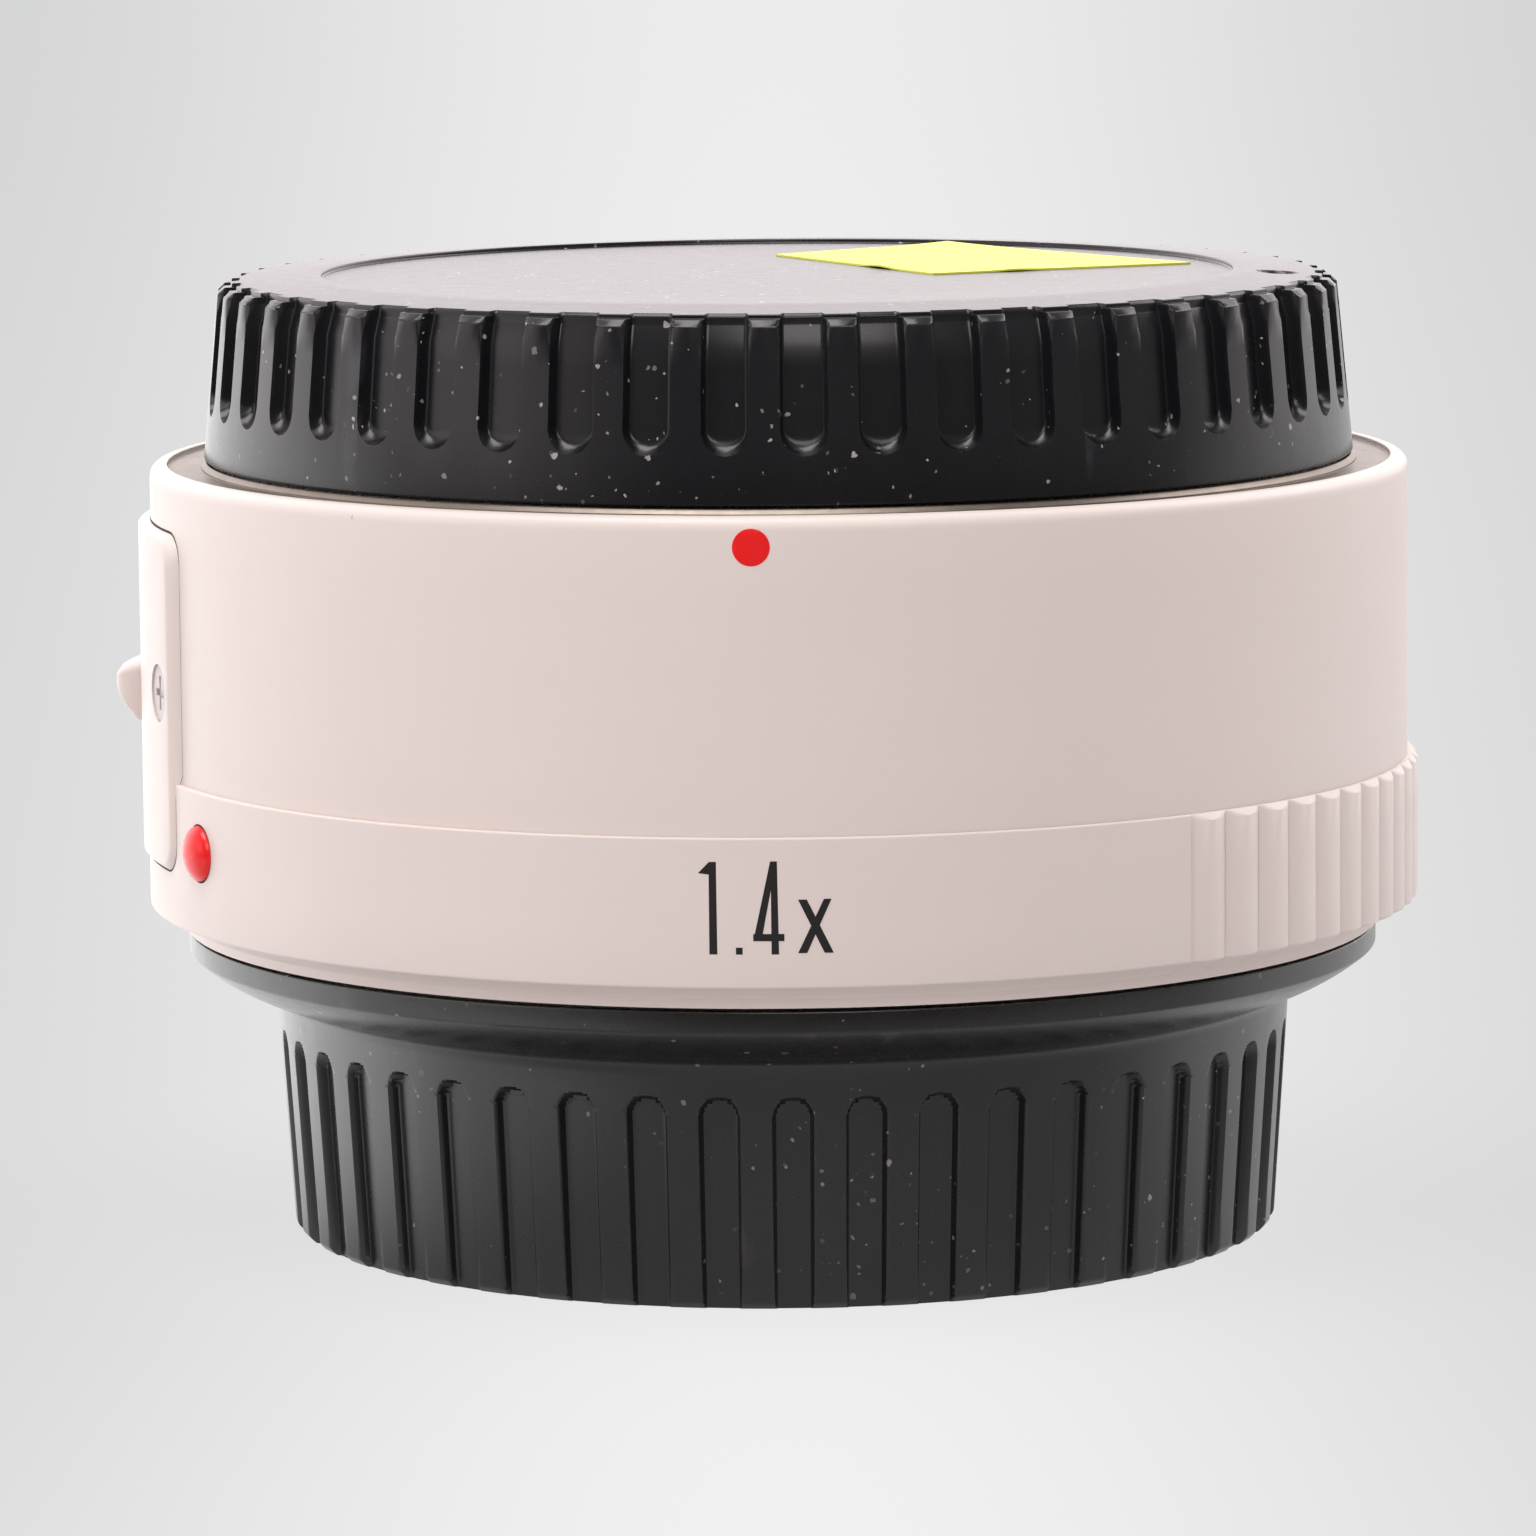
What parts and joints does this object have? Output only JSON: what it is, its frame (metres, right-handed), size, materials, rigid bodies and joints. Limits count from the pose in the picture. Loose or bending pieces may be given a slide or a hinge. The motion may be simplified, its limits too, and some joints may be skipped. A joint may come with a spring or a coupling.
{
  "type": "camera teleconverter",
  "caption": "Short round teleconverter with a white barrel, ribbed grip ring, side release catch and two fluted black caps, built as separate mounts, optics, contacts and shells.",
  "frame": {"origin": "on the optical axis, at the flat base of the rear cap", "axes": "+Z along the optical axis from the camera side to the lens side, +X towards the ribbed side of the grip ring, -X towards the release catch"},
  "size_m": [0.0743, 0.0724, 0.0545],
  "materials": {
    "white_paint": "warm off-white baked paint, satin",
    "gloss_black": "moulded, slightly glossy",
    "matte_black": "moulded, matte",
    "black_resin": "moulded, matte",
    "mount_chrome": "turned and chromed",
    "screw_steel": "machined",
    "black_steel": "blackened",
    "spring_steel": "drawn wire and strip",
    "shim_brass": "rolled",
    "black_anodised": "black anodised",
    "lens_glass": "polished and coated",
    "contact_gold": "gold plated",
    "board_green": "solder resist",
    "flex_amber": "film",
    "chip_black": "moulded",
    "ceramic_tan": "fired",
    "red_enamel": "enamel",
    "label_yellow": "blank paper label"
  },
  "bodies": {
    "body": {"upper_barrel": "white_paint", "grip_ring": "white_paint", "lever_cover": "white_paint", "front_contact_block": "black_resin", "rear_contact_block": "black_resin", "rear_baffle": "black_resin", "front_mount_ring": "mount_chrome", "rear_mount_ring": "mount_chrome", "cover_screws": "screw_steel", "front_mount_screws": "screw_steel", "rear_mount_screws": "screw_steel", "rear_block_screws": "screw_steel", "front_block_screws": "screw_steel", "board_screws": "screw_steel", "baffle_screws": "black_steel", "bayonet_springs": "spring_steel", "release_spring": "spring_steel", "contact_springs": "spring_steel", "front_shim": "shim_brass", "rear_shim": "shim_brass", "chassis": "black_anodised", "front_cell": "black_anodised", "rear_cell": "black_anodised", "front_retaining_ring": "black_anodised", "rear_retaining_ring": "black_anodised", "doublet_retainer": "black_anodised", "element_spacer": "black_anodised", "field_stop": "black_anodised", "front_lens": "lens_glass", "doublet_crown": "lens_glass", "doublet_flint": "lens_glass", "negative_lens": "lens_glass", "rear_lens": "lens_glass", "rear_contact_pads": "contact_gold", "circuit_board": "board_green", "front_flex": "flex_amber", "rear_flex": "flex_amber", "processor_chip": "chip_black", "board_capacitors": "ceramic_tan", "front_index_dot": "red_enamel", "rear_index_bead": "red_enamel"},
    "front_cap": {"front_cap": "gloss_black", "cap_label": "label_yellow"},
    "rear_cap": {"rear_cap": "matte_black"},
    "release": {"release_knob": "white_paint", "release_slider": "black_steel", "lock_pin": "screw_steel"},
    "contacts": {"contact_pins": "contact_gold"}
  },
  "joints": [
    {"name": "front_cap_lift", "type": "slide", "parent": "body", "child": "front_cap", "axis": [0, 0, 1], "range_m": [0, 0.03]},
    {"name": "rear_cap_lift", "type": "slide", "parent": "body", "child": "rear_cap", "axis": [0, 0, -1], "range_m": [0, 0.03]},
    {"name": "release_slide", "type": "slide", "parent": "body", "child": "release", "axis": [0, 0, -1], "range_m": [0, 0.0022], "stiffness_N_per_m": 400, "springref_m": -0.002, "deforming": ["release_spring"]},
    {"name": "contact_press", "type": "slide", "parent": "body", "child": "contacts", "axis": [0, 0, -1], "range_m": [0, 0.0008], "stiffness_N_per_m": 500, "springref_m": -0.001, "deforming": ["contact_springs"]}
  ]
}
